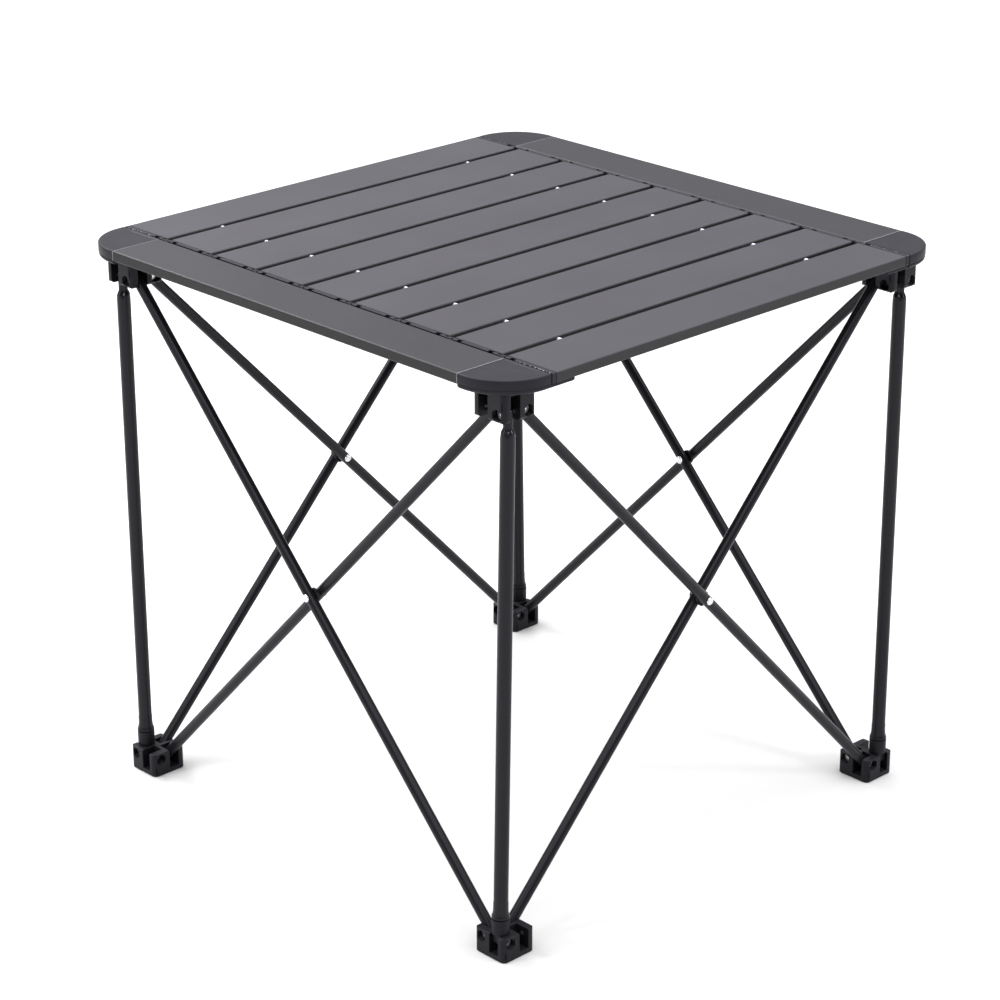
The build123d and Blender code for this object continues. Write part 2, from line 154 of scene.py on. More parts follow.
world = bpy.data.worlds.new("world")
bpy.context.scene.world = world
world.use_nodes = True
background = world.node_tree.nodes["Background"]
background.inputs["Color"].default_value = studio["worldColour"]
background.inputs["Strength"].default_value = studio["worldStrength"]
bpy.context.scene.view_settings.view_transform = "Standard"
print("camera, lights and world made")


# Materials: a signal is a shader socket that can be added and multiplied
class Signal:
    def __init__(self, finish, socket):
        self.finish = finish
        self.socket = socket

    def __add__(self, other):
        return self.finish.sum("ADD", self, other)

    def __radd__(self, other):
        return self.finish.sum("ADD", other, self)

    def __sub__(self, other):
        return self.finish.sum("SUBTRACT", self, other)

    def __rsub__(self, other):
        return self.finish.sum("SUBTRACT", other, self)

    def __mul__(self, other):
        return self.finish.sum("MULTIPLY", self, other)

    def __rmul__(self, other):
        return self.finish.sum("MULTIPLY", other, self)


class Finish:
    def __init__(self, name):
        self.material = bpy.data.materials.new(name)
        self.material.use_nodes = True
        self.tree = self.material.node_tree
        self.tree.nodes.clear()
        self.shader = self.tree.nodes.new("ShaderNodeBsdfPrincipled")
        out = self.tree.nodes.new("ShaderNodeOutputMaterial")
        self.tree.links.new(self.shader.outputs["BSDF"], out.inputs["Surface"])
        self.place = self.node("ShaderNodeTexCoord", "Object")
        self.facing = self.node("ShaderNodeTexCoord", "Normal")

    # Any node: its type, the output wanted, its settings, then its sockets' values or signals; a
    # socket is given by its name, or by its number after an underscore
    def node(self, kind, output, settings=None, **sockets):
        made = self.tree.nodes.new(kind)
        for key, value in (settings or {}).items():
            setattr(made, key, value)
        for key, value in sockets.items():
            socket = made.inputs[int(key[1:]) if key[0] == "_" else key.replace("_", " ")]
            if isinstance(value, Signal):
                self.tree.links.new(value.socket, socket)
            else:
                socket.default_value = value
        return Signal(self, made.outputs[output])

    def sum(self, operation, first, second):
        return self.node("ShaderNodeMath", 0, {"operation": operation}, _0=first, _1=second)

    def absolute(self, value):
        return self.node("ShaderNodeMath", 0, {"operation": "ABSOLUTE"}, _0=value)

    # One coordinate of a vector: 0, 1 or 2
    def part(self, vector, axis):
        return self.node("ShaderNodeSeparateXYZ", axis, None, Vector=vector)

    def noise(self, scale, detail, roughness, place=None):
        return self.node(
            "ShaderNodeTexNoise", 0, None,
            Vector=place or self.place, Scale=scale, Detail=detail, Roughness=roughness,
        )

    # The object's coordinates squeezed along each axis, so that a pattern is drawn out
    def stretched(self, factors):
        return self.node("ShaderNodeMapping", 0, None, Vector=self.place, Scale=factors)

    def ramp(self, value, low, high):
        return self.node("ShaderNodeMapRange", 0, None, Value=value, From_Min=low, From_Max=high)

    def mix(self, factor, first, second):
        return self.node("ShaderNodeMix", 2, {"data_type": "RGBA"}, _0=factor, _6=first, _7=second)

    # How far a face looks up, from 0 on a side to 1 on top; it mixes in the painted shade on the
    # sides
    def upward(self, low, high):
        return self.ramp(self.part(self.facing, 2), low, high)

    # Two shades of one tone, mixed by a signal
    def shades(self, factor, tone, shares):
        return self.mix(factor, grey(tone * shares[0]), grey(tone * shares[1]))

    # A bump, with the edges eased to a radius when one is given
    def bump(self, height, distance, strength, radius=None):
        extra = {}
        if radius:
            extra["Normal"] = self.node("ShaderNodeBevel", 0, {"samples": 4}, Radius=radius)
        return self.node(
            "ShaderNodeBump", 0, None, Height=height, Distance=distance, Strength=strength, **extra
        )

    def wire(self, **sockets):
        for key, value in sockets.items():
            socket = self.shader.inputs[key.replace("_", " ")]
            if isinstance(value, Signal):
                self.tree.links.new(value.socket, socket)
            else:
                socket.default_value = value
        return self.material


# A grey with the slight violet cast of dark anodising
violetCast = (1.04, 1.0, 1.2, 1.0)


def grey(value):
    return (value * violetCast[0], value * violetCast[1], value * violetCast[2], 1.0)


# Anodised extrusions: fine sand grain, faint draw lines along the metal and an uneven tone; the
# sides are painted darker than the top as shade, and the sawn ends show bare metal
extrusion = {
    "grain": (2300.0, 4.0, 0.65),
    "lines": (1.0, 2.0, 0.5),
    "cloud": (9.0, 3.0, 0.55),
    "shares": {"grain": 0.5, "lines": 0.25, "cloud": 0.5},
    "upward": (0.15, 0.95),
    "spread": (0.42, 0.84),
    "topShades": (0.84, 1.16),
    "paintedShadeSides": (0.16, 0.24),
    "sawnWave": (900.0, 2.0, 0.5),
    "sawnRagged": 0.0005,
    "sawnFrom": -0.0003,
    "sawnTo": 0.0002,
    "sawnTone": 0.42,
    "metallic": 0.2,
    "specular": 0.42,
    "roughness": 0.44,
    "roughnessGrain": 0.12,
    "linesInBump": 0.5,
    "bump": 0.00005,
    "bumpStrength": 0.5,
    "edge": 0.0004,
}


def anodised(name, look, tone, along, sawnEnd=None):
    finish = Finish(name)
    grain = finish.noise(*look["grain"])
    lines = finish.noise(*look["lines"], finish.stretched(along))
    cloud = finish.noise(*look["cloud"])
    shares = look["shares"]
    mixture = shares["grain"] * grain + shares["lines"] * lines + shares["cloud"] * cloud
    shade = finish.ramp(mixture, *look["spread"])
    # Painted shade: faces that look sideways take the darker side shares of the tone
    colour = finish.mix(
        finish.upward(*look["upward"]),
        finish.shades(shade, tone, look["paintedShadeSides"]),
        finish.shades(shade, tone, look["topShades"]),
    )
    if sawnEnd:
        wave = look["sawnRagged"] * finish.noise(*look["sawnWave"])
        ragged = finish.absolute(finish.part(finish.place, 1)) + wave
        bare = finish.ramp(ragged, sawnEnd + look["sawnFrom"], sawnEnd + look["sawnTo"])
        colour = finish.mix(bare, colour, grey(look["sawnTone"]))
    relief = grain + look["linesInBump"] * lines
    return finish.wire(
        Base_Color=colour,
        Metallic=look["metallic"],
        Specular_IOR_Level=look["specular"],
        Roughness=look["roughness"] + look["roughnessGrain"] * grain,
        Normal=finish.bump(relief, look["bump"], look["bumpStrength"], look["edge"]),
    )


# Moulded plastic: a fine spark-eroded grain, faint flow clouds, eased edges and painted shade on the
# sides
moulding = {
    "grainDetail": (4.0, 0.65),
    "cloud": (60.0, 3.0, 0.5),
    "grainShare": 0.7,
    "cloudShare": 0.6,
    "upward": (0.1, 0.9),
    "spread": (0.45, 0.85),
    "topShades": (0.85, 1.17),
    "paintedShadeSides": (0.36, 0.52),
    "roughnessCloud": 0.14,
    "bump": 0.00006,
    "bumpStrength": 0.6,
}


def moulded(name, look, tone, roughness, grainSize, edge, gloss):
    finish = Finish(name)
    grain = finish.noise(1.0 / grainSize, *look["grainDetail"])
    cloud = finish.noise(*look["cloud"])
    mixture = look["grainShare"] * grain + look["cloudShare"] * cloud
    shade = finish.ramp(mixture, *look["spread"])
    # Painted shade: faces that look sideways take the darker side shares of the tone
    colour = finish.mix(
        finish.upward(*look["upward"]),
        finish.shades(shade, tone, look["paintedShadeSides"]),
        finish.shades(shade, tone, look["topShades"]),
    )
    return finish.wire(
        Base_Color=colour,
        Roughness=roughness + look["roughnessCloud"] * cloud,
        Specular_IOR_Level=gloss,
        Specular_Tint=violetCast,
        Normal=finish.bump(grain, look["bump"], look["bumpStrength"], edge),
    )


# Slat end caps: moulded plastic with a row of pale flecks along the top of the outermost seam, and
# painted shade on the sides
endCap = {
    "grain": (1900.0, 4.0, 0.65),
    "teeth": (420.0, 1.0, 0.5),
    "teethSpread": (0.54, 0.6),
    "seam": (-0.0007, -0.0004),
    "nearEdge": (-0.045, -0.043),
    "high": (-0.0011, -0.0008),
    "fleckTone": 0.3,
    "upward": (0.1, 0.9),
    "spread": (0.35, 0.65),
    "topShades": (0.86, 1.16),
    "paintedShadeSides": (0.3, 0.44),
    "roughness": 0.42,
    "roughnessGrain": 0.1,
    "gloss": 0.2,
    "bump": 0.00005,
    "bumpStrength": 0.6,
    "edge": 0.0004,
}


def fleckedSeamCap(name, look, tone, seamX, edgeY, top):
    finish = Finish(name)
    grain = finish.noise(*look["grain"])

    # 1 past a line on one axis, with a short rise before it
    def past(coordinate, line, offsets):
        return finish.ramp(coordinate, line + offsets[0], line + offsets[1])

    seam = past(finish.absolute(finish.part(finish.place, 0)), seamX, look["seam"])
    nearEdge = past(finish.absolute(finish.part(finish.place, 1)), edgeY, look["nearEdge"])
    high = past(finish.part(finish.place, 2), top, look["high"])
    teeth = finish.ramp(finish.noise(*look["teeth"]), *look["teethSpread"])
    speckled = finish.ramp(grain, *look["spread"])
    # Painted shade: faces that look sideways take the darker side shares of the tone
    colour = finish.mix(
        finish.upward(*look["upward"]),
        finish.shades(speckled, tone, look["paintedShadeSides"]),
        finish.shades(speckled, tone, look["topShades"]),
    )
    return finish.wire(
        Base_Color=finish.mix(seam * nearEdge * high * teeth, colour, grey(look["fleckTone"])),
        Roughness=look["roughness"] + look["roughnessGrain"] * grain,
        Specular_IOR_Level=look["gloss"],
        Specular_Tint=violetCast,
        Normal=finish.bump(grain, look["bump"], look["bumpStrength"], look["edge"]),
    )


# Powder-coated tube: dark satin with an orange-peel ripple and faint rubbed streaks along it
coating = {
    "peel": (520.0, 3.0, 0.55),
    "speck": (3200.0, 2.0, 0.6),
    "rubbed": (1.0, 3.0, 0.6),
    "rubbedStretch": (260.0, 260.0, 14.0),
    "speckShare": 0.6,
    "rubbedShare": 0.6,
    "spread": (0.4, 0.8),
    "shades": (0.84, 1.22),
    "roughnessRubbed": 0.1,
    "specular": 0.08,
    "coat": 0.24,
    "coatRoughness": 0.14,
    "speckInBump": 0.3,
    "bump": 0.00006,
    "bumpStrength": 0.35,
}


def powderCoat(name, look, tone, roughness):
    finish = Finish(name)
    peel = finish.noise(*look["peel"])
    speck = finish.noise(*look["speck"])
    rubbed = finish.noise(*look["rubbed"], finish.stretched(look["rubbedStretch"]))
    mixture = look["speckShare"] * speck + look["rubbedShare"] * rubbed
    shade = finish.ramp(mixture, *look["spread"])
    return finish.wire(
        Base_Color=finish.shades(shade, tone, look["shades"]),
        Roughness=roughness + look["roughnessRubbed"] * rubbed,
        Specular_IOR_Level=look["specular"],
        Specular_Tint=violetCast,
        Coat_Weight=look["coat"],
        Coat_Roughness=look["coatRoughness"],
        Coat_Tint=violetCast,
        Normal=finish.bump(
            peel + look["speckInBump"] * speck, look["bump"], look["bumpStrength"]
        ),
    )


# Bare steel: bright, with fine turning marks and a few duller patches
steel = {
    "marks": (1800.0, 3.0, 0.6),
    "patch": (180.0, 2.0, 0.5),
    "dull": (0.6, 0.6, 0.61, 1.0),
    "bright": (0.86, 0.86, 0.86, 1.0),
    "roughness": 0.16,
    "roughnessMarks": 0.22,
    "bump": 0.00002,
    "bumpStrength": 0.4,
}


def bareSteel(name, look):
    finish = Finish(name)
    marks = finish.noise(*look["marks"])
    patch = finish.noise(*look["patch"])
    return finish.wire(
        Base_Color=finish.mix(patch, look["dull"], look["bright"]),
        Metallic=1.0,
        Roughness=look["roughness"] + look["roughnessMarks"] * marks,
        Normal=finish.bump(marks, look["bump"], look["bumpStrength"]),
    )


# Elastic cord sleeve: off-white yarn with darker valleys between the strands
yarn = {
    "fibre": (5200.0, 3.0, 0.6),
    "weave": (1500.0, 2.0, 0.5),
    "spread": (0.35, 0.65),
    "tones": (0.62, 0.86),
    "roughness": 0.75,
    "bump": 0.00008,
    "bumpStrength": 0.6,
}


def braidedYarn(name, look):
    finish = Finish(name)
    fibre = finish.noise(*look["fibre"])
    weave = finish.ramp(finish.noise(*look["weave"]), *look["spread"])
    return finish.wire(
        Base_Color=finish.shades(weave, 1.0, look["tones"]),
        Roughness=look["roughness"],
        Normal=finish.bump(fibre, look["bump"], look["bumpStrength"]),
    )


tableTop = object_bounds()[1][2]
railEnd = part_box("left_rail")[1][1]
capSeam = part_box("slat_1_end_caps")[1][0]
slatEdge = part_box("slat_9")[1][1]
finishes = {
    "slat_metal": anodised("slatMetal", extrusion, tone=0.052, along=(3.0, 900.0, 900.0)),
    "rail_metal": anodised(
        "railMetal", extrusion, tone=0.03, along=(900.0, 3.0, 900.0), sawnEnd=railEnd
    ),
    "end_cap_plastic": fleckedSeamCap("endCapPlastic", endCap, 0.026, capSeam, slatEdge, tableTop),
    "cap_plastic": moulded(
        "capPlastic", moulding, tone=0.024, roughness=0.42, grainSize=0.0005, edge=0.0004, gloss=0.16
    ),
    "hub_plastic": moulded(
        "hubPlastic", moulding, tone=0.013, roughness=0.34, grainSize=0.0006, edge=0.0007, gloss=0.16
    ),
    "bar_tube": powderCoat("barTube", coating, tone=0.006, roughness=0.3),
    "leg_tube": powderCoat("legTube", coating, tone=0.006, roughness=0.28),
    "pin_steel": bareSteel("pinSteel", steel),
    "cord_elastic": braidedYarn("cordElastic", yarn),
}
for entry in frame["record"]["subparts"]:
    shown = nodes[entry["node"]]
    shown.data.materials.clear()
    shown.data.materials.append(finishes[entry["material_slot"]])
print("materials made:", len(finishes))


# Meshes: rings of points joined to the next ring; the ends are closed with fans, or the last ring
# joins the first one
def solidFromRings(rings, looped=False):
    count, steps = rings.shape[:2]
    points = rings.reshape(-1, 3)
    rows = np.arange(count if looped else count - 1)
    row, column = np.meshgrid(rows, np.arange(steps), indexing="ij")
    ahead, over = (column + 1) % steps, (row + 1) % count
    here, there = row * steps, over * steps
    quads = np.stack([here + column, here + ahead, there + ahead, there + column], -1)
    quads = quads.reshape(-1, 4).tolist()
    if looped:
        return points, quads
    before = np.arange(steps)
    after = (before + 1) % steps
    first, last = count * steps, (count - 1) * steps
    low = np.stack([after, before, np.full(steps, first)], -1)
    high = np.stack([before + last, after + last, np.full(steps, first + 1)], -1)
    points = np.concatenate([points, rings[:1].mean(axis=1), rings[-1:].mean(axis=1)])
    return points, quads + low.tolist() + high.tolist()


# One object from several closed shells, with outward faces and sharp edges above the angle; a
# piece with no body is left without a parent
def makePiece(name, shells, slot, body, stoodFor, sharpAngle):
    points, faces, offset = [], [], 0
    for shellPoints, shellFaces in shells:
        points.append(shellPoints)
        faces += [[index + offset for index in face] for face in shellFaces]
        offset += len(shellPoints)
    mesh = bpy.data.meshes.new(name)
    mesh.from_pydata(np.concatenate(points).tolist(), [], faces)
    work = bmesh.new()
    work.from_mesh(mesh)
    bmesh.ops.recalc_face_normals(work, faces=work.faces)
    work.to_mesh(mesh)
    work.free()
    mesh.polygons.foreach_set("use_smooth", np.ones(len(mesh.polygons), bool))
    mesh.set_sharp_from_angle(angle=math.radians(sharpAngle))
    mesh.materials.append(finishes[slot])
    piece = bpy.data.objects.new(name, mesh)
    bpy.context.scene.collection.objects.link(piece)
    if body:
        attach(piece, body)
    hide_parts(stoodFor)
    return piece


# The circle of unit spokes about a line: cosine times one side plus sine times the other
def spokes(along, across, steps):
    along = along / np.linalg.norm(along)
    across = across - along * (across @ along)
    across = across / np.linalg.norm(across)
    angle = np.linspace(0, 2 * np.pi, steps, endpoint=False)
    ring = np.cos(angle)[:, None] * across + np.sin(angle)[:, None] * np.cross(along, across)
    return along, angle, ring


# A profile of (distance, radius) carried round a line
def turned(profile, base, along, across, steps=48, looped=False):
    along, _, ring = spokes(np.array(along, float), np.array(across, float), steps)
    distance, radius = np.array(profile, float).T
    rings = base + distance[:, None, None] * along + radius[:, None, None] * ring
    return solidFromRings(rings, looped)


def smooth(value):
    value = np.clip(value, 0, 1)
    return value * value * (3 - 2 * value)


def nodePoints(name):
    mesh = nodes[name].data
    points = np.empty(len(mesh.vertices) * 3)
    mesh.vertices.foreach_get("co", points)
    return points.reshape(-1, 3)


def boxMiddle(name):
    low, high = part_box(name)
    return (np.array(low) + np.array(high)) / 2


# Corner caps: a dished pad with a rolled rim, a fine groove under it and a base that sweeps in to
# the hub, a tab under the outer slat and a plug in the rail
cornerCap = {
    "size": 0.0532,
    "cornerRadius": 0.048,
    "innerRadius": 0.0006,
    "dish": 0.0007,
    "dishWidth": 0.018,
    "innerShare": 0.2,
    "rim": 0.0013,
    "rimHeight": 0.0086,
    "groove": 0.0007,
    "grooveHeight": 0.0007,
    "baseTop": 0.0003,
    "baseSweep": 0.0115,
    "baseInner": 0.0045,
    "hubInset": 0.0365,
    "hubSeat": (0.0133, 0.0083),
    "hubSeatDepth": 0.0023,
    "tabLength": 0.03,
    "tabRoot": 0.012,
    "tabWidth": 0.042,
    "tabInset": 0.0016,
    "tabThickness": 0.003,
    "tabGap": 0.0002,
    "slatThickness": 0.0096,
    "plugDepth": 0.0138,
    "plugWall": 0.0015,
    "plugHeight": 0.0066,
    "padInsets": (
        0.024, 0.021, 0.018, 0.015, 0.012, 0.0095, 0.0075, 0.006, 0.0045, 0.0033, 0.0023,
    ),
    "rimSteps": 9,
    "lipHeight": 0.0003,
    "lipInset": 0.00012,
    "lipFall": 0.00008,
    "baseEase": 0.0001,
    "baseDrop": 0.0006,
    "baseLift": 0.0002,
    "baseSteps": 12,
    "sweepPower": 1.2,
    "fallPower": 0.9,
    "tabRadius": 0.003,
    "tabEase": 0.0004,
    "plugRadius": 0.001,
    "plugEase": 0.0005,
    "arcSteps": 49,
    "runSteps": 13,
    "innerSteps": 21,
    "sharpAngle": 30.0,
}


# Outline of a cap in its own corner: distances from the two outer sides, set in by one amount on
# the outer sides and by another on the inner ones
def capOutline(size, outer, inner):
    radius, far = size["cornerRadius"], size["size"] - inner
    angle = np.linspace(0, np.pi / 2, size["arcSteps"])
    arc = radius - (radius - outer) * np.stack([np.sin(angle), np.cos(angle)], -1)[::-1]
    run = np.linspace(0, 1, size["runSteps"])[1:, None]
    share = np.linspace(0, 1, size["innerSteps"])[:-1, None]
    firstEnd, middle, lastEnd = np.array([[far, outer], [far, far], [outer, far]])
    first = arc[-1] + run[:-1] * (firstEnd - arc[-1])
    inward = firstEnd + share * (middle - firstEnd)
    across = middle + share * (lastEnd - middle)
    last = lastEnd + run[:-1] * (arc[0] - lastEnd)
    return np.concatenate([arc, first, inward, across, lastEnd[None], last])


# A rounded rectangle of points about a centre, one quarter arc for each corner
def roundedRectangle(halfWide, halfTall, radius, steps=6):
    angle = np.linspace(0, np.pi / 2, steps)
    arc = radius * np.stack([np.cos(angle), np.sin(angle)], -1)
    quarters = [quarter * math.pi / 2 for quarter in range(4)]
    turns = [np.array([[math.cos(t), math.sin(t)], [-math.sin(t), math.cos(t)]]) for t in quarters]
    signs = ((1, 1), (-1, 1), (-1, -1), (1, -1))
    middle = np.array([halfWide - radius, halfTall - radius])
    return np.concatenate([arc @ turn + middle * sign for turn, sign in zip(turns, signs)])


# A slab in two of its axes: an outline that shrinks a little at both faces, so that its edges are
# eased
def easedSlab(centre, first, second, normal, halfWide, halfTall, radius, thickness, ease):
    rings = []
    for height, inset in ((0, ease), (ease, 0), (thickness - ease, 0), (thickness, ease)):
        flat = roundedRectangle(halfWide - inset, halfTall - inset, radius)
        rings.append(centre + flat[:, :1] * first + flat[:, 1:] * second + height * normal)
    return solidFromRings(np.array(rings))


def makeCornerCap(corner, size):
    low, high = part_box(corner + "_corner_cap")
    hub = boxMiddle(corner + "_top_hub")
    side = np.sign(hub[:2])
    outerSides = np.where(side > 0, np.array(high[:2]), np.array(low[:2]))
    top, bottom = high[2], low[2]

    def place(flat, height):
        return np.column_stack([outerSides - side * flat, np.full(len(flat), height)])

    # The pad's top falls by a smoothed step towards the middle, and its rim is a quarter circle
    insets = np.array(size["padInsets"])
    falls = size["dish"] * smooth((insets - size["rim"]) / size["dishWidth"])
    rings = []
    for inset, fall in zip(insets, falls):
        rings.append(place(capOutline(size, inset, inset * size["innerShare"]), top - fall))
    for angle in np.linspace(0, np.pi / 2, size["rimSteps"]):
        outer = size["rim"] * (1 - math.sin(angle))
        inner = size["innerRadius"] * (1 - math.sin(angle))
        fall = size["rim"] * (1 - math.cos(angle))
        rings.append(place(capOutline(size, outer, inner), top - fall))
    groove = top - size["rimHeight"]
    grooveFloor = groove - size["grooveHeight"]
    for inset, height in (
        (0.0, groove + size["lipHeight"]),
        (size["lipInset"], groove + size["lipFall"]),
        (size["groove"], groove),
        (size["groove"], grooveFloor),
        (size["baseTop"] + size["baseEase"], grooveFloor - size["baseEase"]),
    ):
        rings.append(place(capOutline(size, inset, 0.0), height))
    # The base drops, then sweeps in on a quarter ellipse down to the hub
    baseHigh = grooveFloor - size["baseDrop"]
    baseLow = bottom + size["baseLift"]
    for angle in np.linspace(0, np.pi / 2, size["baseSteps"]):
        swept = 1 - math.cos(angle)
        inset = size["baseTop"] + size["baseSweep"] * swept ** size["sweepPower"]
        height = baseHigh - (baseHigh - baseLow) * math.sin(angle) ** size["fallPower"]
        rings.append(place(capOutline(size, inset, size["baseInner"] * swept), height))
    # The seat for the hub's cone is a circle on the same spokes as the outline
    outline = capOutline(size, size["baseTop"] + size["baseSweep"], size["baseInner"])
    middle = np.array([size["hubInset"], size["hubInset"]])
    spoke = outline - middle
    spoke /= np.linalg.norm(spoke, axis=1)[:, None]
    rings.append(place(middle + spoke * size["hubSeat"][0], bottom))
    rings.append(place(middle + spoke * size["hubSeat"][1], bottom + size["hubSeatDepth"]))
    shells = [solidFromRings(np.array(rings))]

    x, y, z = np.eye(3)
    tabHigh = top - size["slatThickness"] - size["tabGap"]
    tabMiddle = outerSides - side * np.array([
        size["size"] + (size["tabLength"] - size["tabRoot"]) / 2,
        size["tabInset"] + size["tabWidth"] / 2,
    ])
    tabHalf = (size["tabLength"] + size["tabRoot"]) / 2
    shells.append(easedSlab(
        np.array([*tabMiddle, tabHigh - size["tabThickness"]]), x, y, z,
        tabHalf, size["tabWidth"] / 2, size["tabRadius"], size["tabThickness"], size["tabEase"],
    ))
    plugMiddle = outerSides - side * np.array([size["size"] / 2, size["size"]])
    plugHalf = size["size"] / 2 - size["plugWall"]
    shells.append(easedSlab(
        np.array([*plugMiddle, top - size["slatThickness"] / 2]), x, z, -side[1] * y,
        plugHalf, size["plugHeight"] / 2, size["plugRadius"], size["plugDepth"], size["plugEase"],
    ))
    node = corner + "_corner_cap"
    makePiece(corner + "CornerCap", shells, "cap_plastic", "tabletop", node, size["sharpAngle"])


for corner in cornerNames:
    makeCornerCap(corner, cornerCap)
print("corner caps made")

# Legs: a round tube whose top is swaged to a neck by four creases, standing in a flared ferrule
leg = {
    "tubeRadius": 0.00635,
    "neckRadius": 0.0044,
    "neckDepth": 0.0169,
    "shoulder": 0.0056,
    "crease": 0.0016,
    "creaseLength": 0.0034,
    "neckCrease": 0.0004,
    "creaseTurn": 45.0,
    "creasePlace": 0.45,
    "lobes": 4,
    "lobePower": 3,
    "tubeStart": 0.0147,
    "tubeRings": {"from": 0.01, "to": 0.008, "count": 12},
    "neckRings": {"from": 0.006, "to": 0.004, "count": 44},
    "topRings": {"from": 0.005, "count": 5},
    "domeRings": 9,
    "steps": 64,
    "sharpAngle": 50.0,
}
ferrule = {
    "spigotRadius": 0.0053,
    "flangeAt": 0.0126,
    "flangeRadius": 0.008,
    "flangeEdge": 0.0016,
    "top": 0.0276,
    "topRadius": 0.0066,
    "socketRadius": 0.00643,
    "socketFloor": 0.01455,
    "boreRadius": 0.001,
    "flare": 4.5,
    "flareRings": 14,
    "spigotEase": 0.0006,
    "flangeEase": 0.0004,
    "lipEase": 0.0002,
    "sharpAngle": 38.0,
}


# A leg's middle line: from the middle of its lowest ring to the crown of its dome
def legLine(name, ringDepth=0.0004):
    points = nodePoints(name)
    ring = points[points[:, 2] < points[:, 2].min() + ringDepth]
    base = (ring.min(axis=0) + ring.max(axis=0)) / 2
    return base, points[points[:, 2].argmax()]


def makeTube(corner, size, base, crown):
    length = np.linalg.norm(crown - base)
    along, angle, ring = spokes(crown - base, np.array([1.0, 0, 0]), size["steps"])
    pin = length - size["neckRadius"]
    neck = length - size["neckDepth"]
    shoulder = neck - size["shoulder"]
    tube, fine, top = size["tubeRings"], size["neckRings"], size["topRings"]
    dome = np.linspace(0, np.pi / 2, size["domeRings"])[1:-1]
    distance = np.concatenate([
        [size["tubeStart"]],
        np.linspace(size["tubeStart"] + tube["from"], shoulder - tube["to"], tube["count"]),
        np.linspace(shoulder - fine["from"], neck + fine["to"], fine["count"]),
        np.linspace(neck + top["from"], pin, top["count"]),
        pin + size["neckRadius"] * np.sin(dome),
    ])
    # The radius falls from tube to neck by a smoothed step, less a crease that is a bell along the
    # tube and four lobes round it
    narrowing = smooth((distance - shoulder) / size["shoulder"])
    radius = size["tubeRadius"] + (size["neckRadius"] - size["tubeRadius"]) * narrowing
    past = np.clip((distance - pin) / size["neckRadius"], 0, 1)
    radius = np.where(past > 0, size["neckRadius"] * np.sqrt(1 - past ** 2), radius)
    deepest = shoulder + size["creasePlace"] * size["shoulder"]
    bell = size["crease"] * np.exp(-(((distance - deepest) / size["creaseLength"]) ** 2))
    bell += size["neckCrease"] * narrowing * (1 - past)
    wave = np.cos(size["lobes"] * (angle - math.radians(size["creaseTurn"])))
    lobes = (0.5 + 0.5 * wave) ** size["lobePower"]
    full = radius[:, None] - bell[:, None] * lobes
    rings = base + distance[:, None, None] * along + full[..., None] * ring
    makePiece(
        corner + "LegTube", [solidFromRings(rings)],
        "leg_tube", corner + "_top", corner + "_leg", size["sharpAngle"],
    )


# The ferrule's outside is a bell: the radius falls with a power of the height
def makeFerrule(corner, size, base, crown, steps):
    top, flangeAt = size["top"], size["flangeAt"]
    rise = np.linspace(0, 1, size["flareRings"])[1:]
    belly = size["flangeRadius"] - size["topRadius"]
    flare = size["topRadius"] + belly * (1 - rise) ** size["flare"]
    bellFoot = flangeAt + size["flangeEdge"]
    profile = [
        (0.0, size["spigotRadius"] - size["spigotEase"]),
        (size["spigotEase"], size["spigotRadius"]),
        (flangeAt, size["spigotRadius"]),
        (flangeAt, size["flangeRadius"] - size["flangeEase"]),
        (flangeAt + size["flangeEase"], size["flangeRadius"]),
        (bellFoot, size["flangeRadius"]),
        *zip(bellFoot + rise * (top - bellFoot - size["lipEase"]), flare),
        (top, size["topRadius"] - size["lipEase"]),
        (top, size["socketRadius"]),
        (size["socketFloor"], size["socketRadius"]),
        (size["socketFloor"], size["boreRadius"]),
    ]
    cup = turned(profile, base, crown - base, np.array([1.0, 0, 0]), steps)
    makePiece(
        corner + "LegFerrule", [cup],
        "leg_tube", corner + "_top", corner + "_leg", size["sharpAngle"],
    )


for corner in cornerNames:
    base, crown = legLine(corner + "_leg")
    makeTube(corner, leg, base, crown)
    makeFerrule(corner, ferrule, base, crown, leg["steps"])
print("legs made")

# Middle pivots: a rivet with domed heads through both bars, and a nylon washer that saddles one
pivot = {
    "barRadius": 0.005,
    "gap": 0.001,
    "shankRadius": 0.002,
    "headRadius": 0.0038,
    "headHeight": 0.0012,
    "dimple": 0.0004,
    "washerRadius": 0.007,
    "washerSaddle": 0.0022,
    "washerClearance": 0.0001,
    "washerBore": 0.0021,
    "washerRings": 7,
    "washerSteps": 56,
    "washerEase": 0.0003,
    "barClearance": 0.00003,
    "farClearance": 0.00008,
    "domeRings": 8,
    "domePower": 0.8,
    "domeFall": 0.0016,
    "dimpleRadius": 0.001,
    "centreRadius": 0.0003,
    "rivetSteps": 40,
    "rivetSharpAngle": 45.0,
    "washerSharpAngle": 35.0,
}
pivotNames = {
    "front": "front_left_pivot",
    "right": "front_right_pivot",
    "back": "back_right_pivot",
    "left": "back_left_pivot",
}


# A bar's direction: the spread of its points less its own radius, signed by the way it leans
def barDirection(name, pinLine, barRadius):
    points = nodePoints(name) - boxMiddle(name)
    points -= np.outer(points @ pinLine, pinLine)
    far = points[np.linalg.norm(points, axis=1).argmax()]
    level = np.cross(pinLine, np.array([0, 0, 1.0]))
    rise = points[:, 2].max() - barRadius
    run = np.abs(points @ level).max() - barRadius
    return np.array([0, 0, rise]) + level * run * np.sign(far[2] * (far @ level))


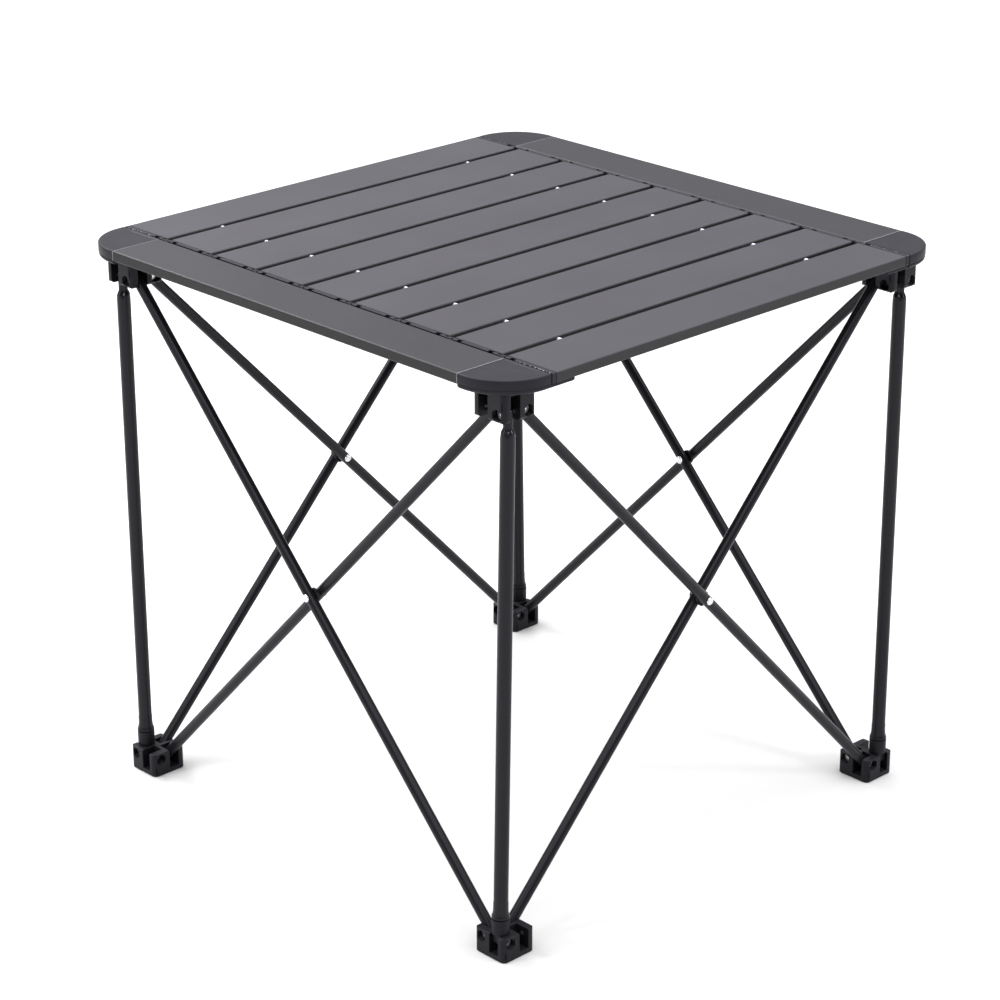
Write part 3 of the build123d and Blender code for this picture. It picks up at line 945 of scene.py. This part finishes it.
def makeRivet(corner, size, centre, pinLine, barLine):
    outside = -size["barRadius"]
    inside = 3 * size["barRadius"] + size["gap"] + size["farClearance"]
    height, dimple = size["headHeight"], size["dimple"]
    dome = np.linspace(0, np.pi / 2, size["domeRings"])
    rise = height * np.sin(dome) ** size["domePower"]
    reach = size["headRadius"] - size["domeFall"] * (1 - np.cos(dome))
    profile = [
        (outside - height + dimple, size["centreRadius"]),
        (outside - height, size["dimpleRadius"]),
        *zip(outside - rise[::-1], reach[::-1]),
        (outside, size["shankRadius"]),
        (inside, size["shankRadius"]),
        *zip(inside + rise, reach),
        (inside + height, size["dimpleRadius"]),
        (inside + height - dimple, size["centreRadius"]),
    ]
    rivet = turned(profile, centre, pinLine, barLine, size["rivetSteps"])
    makePiece(
        corner + "MiddleRivet", [rivet],
        "pin_steel", corner + "_outer_bar", pivotNames[corner], size["rivetSharpAngle"],
    )


# The washer's underside follows the round bar: height is the root of radius squared less offset
# squared, but never below the saddle's depth
def makeWasher(corner, size, centre, pinLine, barLine):
    along, angle, ring = spokes(pinLine, barLine, size["washerSteps"])
    inner, outer, ease = size["washerBore"], size["washerRadius"], size["washerEase"]
    face = size["barRadius"] + size["gap"] - size["washerClearance"]
    floor = size["barRadius"] - size["washerSaddle"]

    def underside(radius):
        offset = np.abs(radius * np.sin(angle))
        onBar = np.sqrt(np.clip(size["barRadius"] ** 2 - offset ** 2, 0, None))
        return np.maximum(onBar, floor) + size["barClearance"]

    radii = np.linspace(inner, outer - ease, size["washerRings"])
    rows = [(radius, underside(radius)) for radius in radii]
    rows.append((outer, underside(outer) + ease))
    rows.append((outer, np.full(len(angle), face - ease)))
    rows.append((outer - ease, np.full(len(angle), face)))
    rows.append((inner, np.full(len(angle), face)))
    rings = np.array([centre + radius * ring + height[:, None] * along for radius, height in rows])
    makePiece(
        corner + "MiddleWasher", [solidFromRings(rings, looped=True)],
        "hub_plastic", corner + "_outer_bar", pivotNames[corner], size["washerSharpAngle"],
    )


for corner in cornerNames:
    neighbour = cornerNames[(cornerNames.index(corner) - 1) % len(cornerNames)]
    centre = boxMiddle(corner + "_outer_bar")
    pinLine = boxMiddle(neighbour + "_inner_bar") - centre
    pinLine /= np.linalg.norm(pinLine)
    barLine = barDirection(corner + "_outer_bar", pinLine, pivot["barRadius"])
    makeRivet(corner, pivot, centre, pinLine, barLine)
    makeWasher(corner, pivot, centre, pinLine, barLine)
print("middle pivots made")

# Elastic cords: each stretch runs from the middle of one slat to the middle of the next, with a
# diamond braid: the radius swells with one cosine of height plus angle times another of height
# less angle
cord = {
    "radius": 0.0018,
    "braid": 0.05,
    "strands": 4,
    "pitch": 0.0042,
    "steps": 20,
    "ringGap": 0.0007,
    "bendFrom": 0.002,
    "sharpAngle": 80.0,
}


def makeCords(size):
    low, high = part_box("shock_cords")
    height = (low[2] + high[2]) / 2
    subparts = frame["record"]["subparts"]
    slatCount = sum(1 for entry in subparts if entry["material_slot"] == "slat_metal")
    middles = [boxMiddle(f"slat_{k}")[1] for k in range(1, slatCount + 1)]
    edges = [low[1], *middles[1:-1], high[1]]
    _, angle, ring = spokes(np.array([0, 1.0, 0]), np.array([0, 0, 1.0]), size["steps"])
    for k in range(1, slatCount):
        start, end = edges[k - 1], edges[k]
        y = np.linspace(start, end, int((end - start) / size["ringGap"]))
        wind = 2 * np.pi * y[:, None] / size["pitch"]
        swell = np.cos(wind + size["strands"] * angle) * np.cos(wind - size["strands"] * angle)
        radius = size["radius"] * (1 - size["braid"] + size["braid"] * swell)
        shells = []
        for x in (low[0] + size["radius"], high[0] - size["radius"]):
            line = np.column_stack([np.full(len(y), x), y, np.full(len(y), height)])
            shells.append(solidFromRings(line[:, None] + radius[..., None] * ring))
        piece = makePiece(
            f"shockCords{k}", shells, "cord_elastic", None, "shock_cords", size["sharpAngle"]
        )
        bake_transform(piece)


makeCords(cord)
print("elastic cords made")


# The floor, well past the picture's edges
def layFloor(size, colour, roughness):
    half = size / 2
    corners = [(-half, -half, 0), (half, -half, 0), (half, half, 0), (-half, half, 0)]
    mesh = bpy.data.meshes.new("floor")
    mesh.from_pydata(corners, [], [(0, 1, 2, 3)])
    floor = bpy.data.objects.new("floor", mesh)
    bpy.context.scene.collection.objects.link(floor)
    paint = Finish("floorPaint")
    mesh.materials.append(paint.wire(Base_Color=colour, Roughness=roughness))


layFloor(studio["floorSize"], studio["floorColour"], studio["floorRoughness"])
